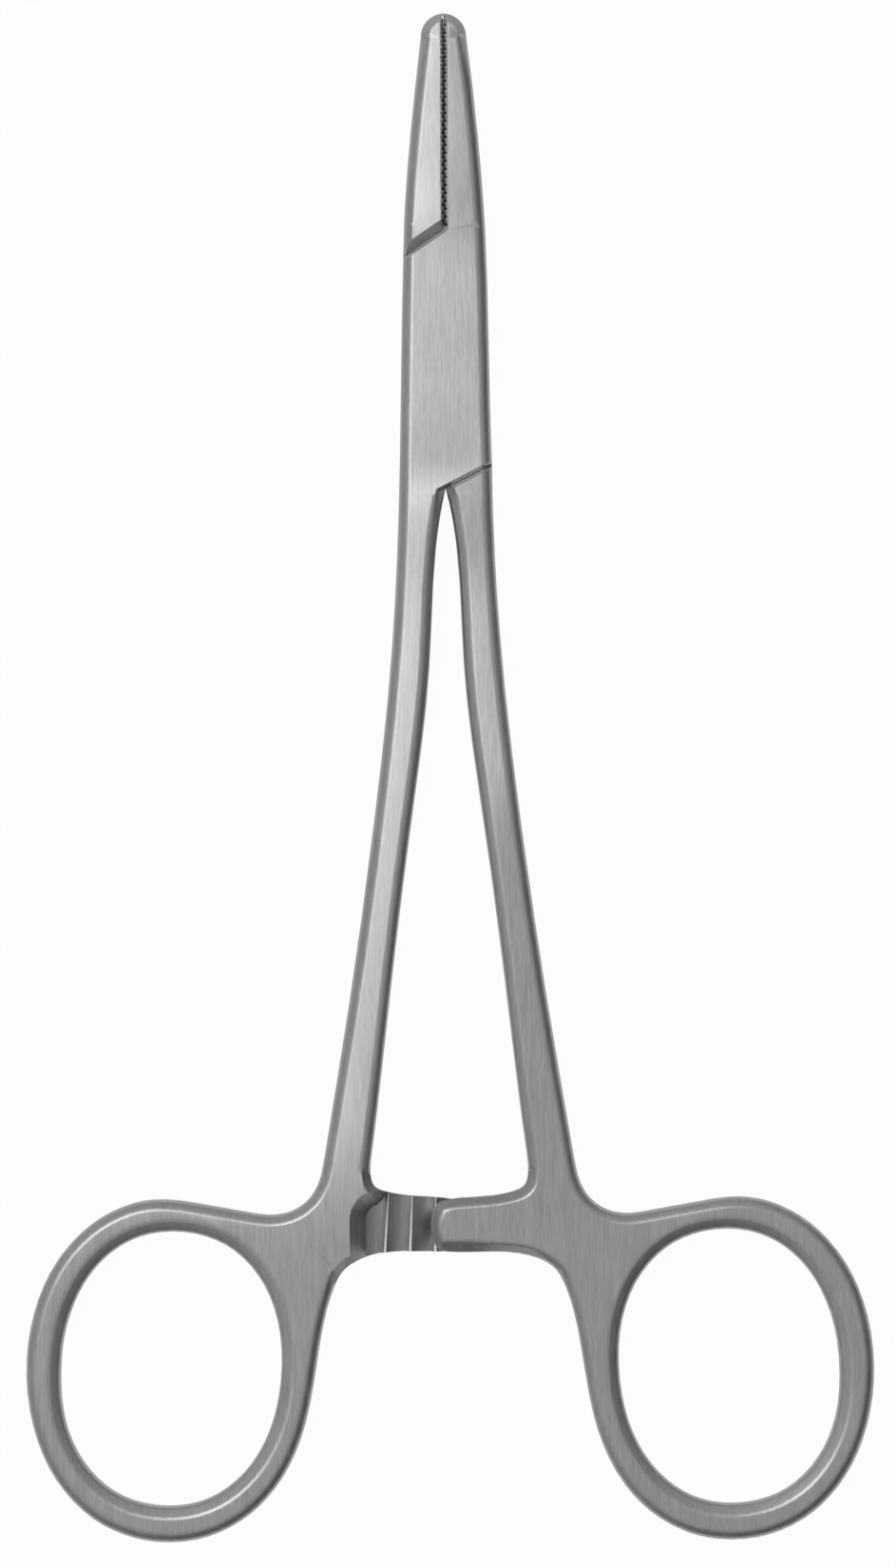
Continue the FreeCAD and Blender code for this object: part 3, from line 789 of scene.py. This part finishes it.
    def keeps_sharp(self, spot: Vector, outermost: bool) -> bool:
        """Tell whether an edge stays as cut.

        Args:
            spot: Middle of the edge, in metres.
            outermost: Whether the edge is the outermost one, between bevel and wall.

        Returns:
            True at the jaws' seam and tips, at the shoulders of the box lock and in the
            ratchet's relief.
        """
        regions = self.regions
        x, y, z = spot / MILLIMETRE
        side = 1 if self.body is Body.BOX_SIDE else -1
        seam = abs(x) < regions.seam_reach and y > regions.seam_start
        beside_box = regions.shoulder_run[0] < y < regions.shoulder_run[1]
        shoulder = abs(x) < regions.shoulder_reach and beside_box
        cut_side = (z - regions.middle) * side > regions.cut_level
        outer = regions.relief_outer if cut_side else regions.relief_outer_plain
        wide = regions.relief_inner < -x * side < outer
        beside_relief = regions.relief_run[0] < y < regions.relief_run[1]
        ratchet = wide and beside_relief and (cut_side or outermost)
        return seam or shoulder or ratchet or y > self.tip_start / MILLIMETRE

    def edges_between(
        self, shape: bmesh.types.BMesh, first: Facing, second: Facing
    ) -> list[bmesh.types.BMEdge]:
        """Edges of the outline with one face of each kind.

        Args:
            shape: The mesh.
            first: Kind of the one face.
            second: Kind of the other face.

        Returns:
            The edges found.
        """
        wanted = {first, second}
        outermost = Facing.WALL in wanted
        return [
            edge
            for edge in shape.edges
            if {Facing.of(face) for face in edge.link_faces} == wanted
            and not self.keeps_sharp((edge.verts[0].co + edge.verts[1].co) / 2, outermost)
        ]

    @staticmethod
    def round_edges(
        shape: bmesh.types.BMesh, edges: list[bmesh.types.BMEdge], width: float, segments: int
    ) -> None:
        """Round edges.

        Args:
            shape: The mesh.
            edges: The edges to round.
            width: Width of the rounding on each side.
            segments: Facets across it.
        """
        bmesh.ops.bevel(
            shape,
            geom=edges,
            offset=width,
            segments=segments,
            profile=0.5,
            affect="EDGES",
            material=-1,
            clamp_overlap=False,
            face_strength_mode="NEW",
        )


# Studio
@dataclass
class Studio:
    """White floor, soft light from the upper left and the camera straight above."""

    centre: Vector = field(default_factory=lambda: Vector((0.07, -41.62, 2.7)) * MILLIMETRE)
    frame_height: float = 153.97 * MILLIMETRE
    distance: float = 0.95
    sensor: float = 36.0
    lean: float = math.radians(0.2929)
    floor_size: float = 6.0
    floor_white: float = 0.85
    floor_share: float = 0.97
    floor_mirrored: float = 0.55
    floor_drop: float = 0.05 * MILLIMETRE
    sky_axis: tuple[float, float, float] = (-0.26, 0.2, 0.945)
    sky: tuple[tuple[float, float], ...] = ((0.45, 0.025), (0.81, 0.42), (0.97, 0.4))
    key_place: tuple[float, float, float] = (-0.17, 0.12, 0.62)
    key_size: float = 0.3
    key_power: float = 0.52

    def build(self) -> None:
        """Set up floor, world, lamps and camera."""
        self.floor()
        self.world()
        self.lamp("key_light", self.key_place, self.key_size, self.key_power)
        self.camera()
        bpy.context.scene.view_settings.view_transform = "Standard"

    def floor(self) -> None:
        """Lay the floor under the tool."""
        mesh = bpy.data.meshes.new("floor")
        sheet = bmesh.new()
        bmesh.ops.create_grid(sheet, x_segments=1, y_segments=1, size=self.floor_size / 2)
        sheet.to_mesh(mesh)
        sheet.free()
        floor = bpy.data.objects.new("floor", mesh)
        bpy.context.scene.collection.objects.link(floor)
        floor.location = (0, 0, -self.floor_drop)
        mesh.materials.append(self.floor_material())

    def floor_material(self) -> bpy.types.Material:
        """White floor that keeps the shadow.

        Returns:
            The floor's material.
        """
        material = bpy.data.materials.new("white_floor")
        material.use_nodes = True
        tree = material.node_tree
        tree.nodes.clear()
        diffuse = new_node(tree, "ShaderNodeBsdfDiffuse")
        diffuse.inputs["Color"].default_value = (self.floor_white,) * 3 + (1.0,)
        glow = new_node(tree, "ShaderNodeEmission")
        strength = new_node(tree, "ShaderNodeMath", operation="MULTIPLY_ADD")
        strength.inputs[1].default_value = 1.0 - self.floor_mirrored
        strength.inputs[2].default_value = self.floor_mirrored
        ray = new_node(tree, "ShaderNodeLightPath")
        share = new_node(tree, "ShaderNodeMath", operation="MULTIPLY")
        share.inputs[1].default_value = self.floor_share
        mix = new_node(tree, "ShaderNodeMixShader")
        output = new_node(tree, "ShaderNodeOutputMaterial")
        seen = new_node(tree, "ShaderNodeMath", operation="MAXIMUM")
        tree.links.new(ray.outputs["Is Camera Ray"], strength.inputs[0])
        tree.links.new(strength.outputs[0], glow.inputs["Strength"])
        tree.links.new(ray.outputs["Is Camera Ray"], seen.inputs[0])
        tree.links.new(ray.outputs["Is Glossy Ray"], seen.inputs[1])
        tree.links.new(seen.outputs[0], share.inputs[0])
        tree.links.new(share.outputs[0], mix.inputs["Fac"])
        tree.links.new(diffuse.outputs[0], mix.inputs[1])
        tree.links.new(glow.outputs[0], mix.inputs[2])
        tree.links.new(mix.outputs[0], output.inputs["Surface"])
        return material

    def world(self) -> None:
        """Studio surroundings: lighter to the upper left, darker to the lower right."""
        world = bpy.data.worlds.new("studio")
        world.use_nodes = True
        tree = world.node_tree
        tree.nodes.clear()
        place = new_node(tree, "ShaderNodeTexCoord")
        lean = new_node(tree, "ShaderNodeVectorMath", operation="DOT_PRODUCT")
        lean.inputs[1].default_value = self.sky_axis
        ramp = new_node(tree, "ShaderNodeValToRGB")
        set_tones(ramp, self.sky)
        shift = new_node(tree, "ShaderNodeMath", operation="MULTIPLY_ADD")
        shift.inputs[1].default_value = 0.5
        shift.inputs[2].default_value = 0.5
        dim = new_node(tree, "ShaderNodeBackground")
        white = new_node(tree, "ShaderNodeBackground")
        white.inputs["Strength"].default_value = 1.0
        white.inputs["Color"].default_value = (1, 1, 1, 1)
        ray = new_node(tree, "ShaderNodeLightPath")
        mix = new_node(tree, "ShaderNodeMixShader")
        output = new_node(tree, "ShaderNodeOutputWorld")
        tree.links.new(place.outputs["Generated"], lean.inputs[0])
        tree.links.new(lean.outputs["Value"], shift.inputs[0])
        tree.links.new(shift.outputs[0], ramp.inputs["Fac"])
        tree.links.new(ramp.outputs["Color"], dim.inputs["Color"])
        tree.links.new(ray.outputs["Is Camera Ray"], mix.inputs["Fac"])
        tree.links.new(dim.outputs[0], mix.inputs[1])
        tree.links.new(white.outputs[0], mix.inputs[2])
        tree.links.new(mix.outputs[0], output.inputs["Surface"])
        bpy.context.scene.world = world

    def lamp(
        self, name: str, place: tuple[float, float, float], size: float, power: float
    ) -> None:
        """Hang a soft lamp that points at the tool.

        Args:
            name: The lamp's name.
            place: Where it hangs, in metres.
            size: Edge of its square face, in metres.
            power: Its power in watts.
        """
        data = bpy.data.lights.new(name, "AREA")
        data.shape = "SQUARE"
        data.size = size
        data.energy = power
        lamp = bpy.data.objects.new(name, data)
        bpy.context.scene.collection.objects.link(lamp)
        lamp.location = place
        lamp.rotation_mode = "QUATERNION"
        lamp.rotation_quaternion = (self.centre - lamp.location).to_track_quat("-Z", "Y")

    def camera(self) -> None:
        """Place the camera straight above the tool, with the photograph's frame and lean."""
        data = bpy.data.cameras.new("camera")
        data.sensor_width = self.sensor
        data.lens = self.sensor * self.distance / self.frame_height
        camera = bpy.data.objects.new("camera", data)
        bpy.context.scene.collection.objects.link(camera)
        camera.location = self.centre + Vector((0, 0, self.distance))
        camera.rotation_euler = (0, 0, -self.lean)
        bpy.context.scene.camera = camera


def main() -> None:
    """Build the tool's pieces and the studio round them."""
    # Painted shade on the relief's steeper faces, darkest on the walls, and a painted highlight (tone
    # above 1) on its near-flat faces such as the crests of the teeth.
    relief_shade_and_highlight = {
        "along": (-91.5 * MILLIMETRE, -79.6 * MILLIMETRE),
        "tones": ((0.55, 0.8), (0.85, 0.8), (0.96, 0.9), (0.985, 1.1)),
    }
    # Painted shade, nearly black, on the steep walls of the jaw's grooves; flatter faces keep their
    # colour.
    groove_shade = {
        "along": (12.8 * MILLIMETRE, 36.0 * MILLIMETRE),
        "height": (-1.0 * MILLIMETRE, 6.0 * MILLIMETRE),
        "tones": ((0.62, 0.1), (0.68, 1.0)),
        "crest": 1.0,
        "softness": 0.01 * MILLIMETRE,
    }
    box_steel = GroundSteel(
        "box_half_steel",
        HandGrinding(
            jaw=(0.02, -0.04, 0.0), shank=(-0.05, 0.04, 0.0), ring=(0.015, -0.02, 0.0)
        ),
        (
            # Painted shade and highlight over the ratchet's relief.
            ShadeAndHighlightZone(
                name="relief_painted_shade_and_highlight",
                reach=(-10.3 * MILLIMETRE, 12.0 * MILLIMETRE),
                height=(1.6 * MILLIMETRE, 4.56 * MILLIMETRE),
                **relief_shade_and_highlight,
            ),
            # Painted shade in the jaw's grooves.
            ShadeAndHighlightZone(
                name="jaw_groove_painted_shade",
                reach=(-0.1 * MILLIMETRE, 0.36 * MILLIMETRE),
                **groove_shade,
            ),
        ),
    )
    tongue_steel = GroundSteel(
        "tongue_half_steel",
        HandGrinding(
            jaw=(-0.005, 0.015, 0.0),
            shank=(-0.03, 0.02, 0.0),
            ring=(0.035, -0.035, 0.0),
            shank_run=(-14.0 * MILLIMETRE, -26.0 * MILLIMETRE),
            ring_run=(-38.0 * MILLIMETRE, -52.0 * MILLIMETRE),
        ),
        (
            # Painted shade and highlight over the ratchet's relief.
            ShadeAndHighlightZone(
                name="relief_below_painted_shade_and_highlight",
                reach=(-12.0 * MILLIMETRE, 10.3 * MILLIMETRE),
                height=(0.84 * MILLIMETRE, 3.8 * MILLIMETRE),
                **relief_shade_and_highlight,
            ),
            # Painted shade in the jaw's grooves.
            ShadeAndHighlightZone(
                name="jaw_groove_painted_shade_left",
                reach=(-0.36 * MILLIMETRE, 0.1 * MILLIMETRE),
                **groove_shade,
            ),
        ),
    )
    pieces = [
        ForgedHalf("box_half", "box_half_forging", Body.BOX_SIDE, box_steel),
        ForgedHalf("tongue_half", "tongue_half_forging", Body.TONGUE_SIDE, tongue_steel),
        RivetedPin("pivot_pin", "riveted_pin", Body.BOX_SIDE, GroundSteel("pin_steel")),
    ]
    for piece in pieces:
        piece.build()
    Studio().build()


if __name__ == "__main__":
    main()
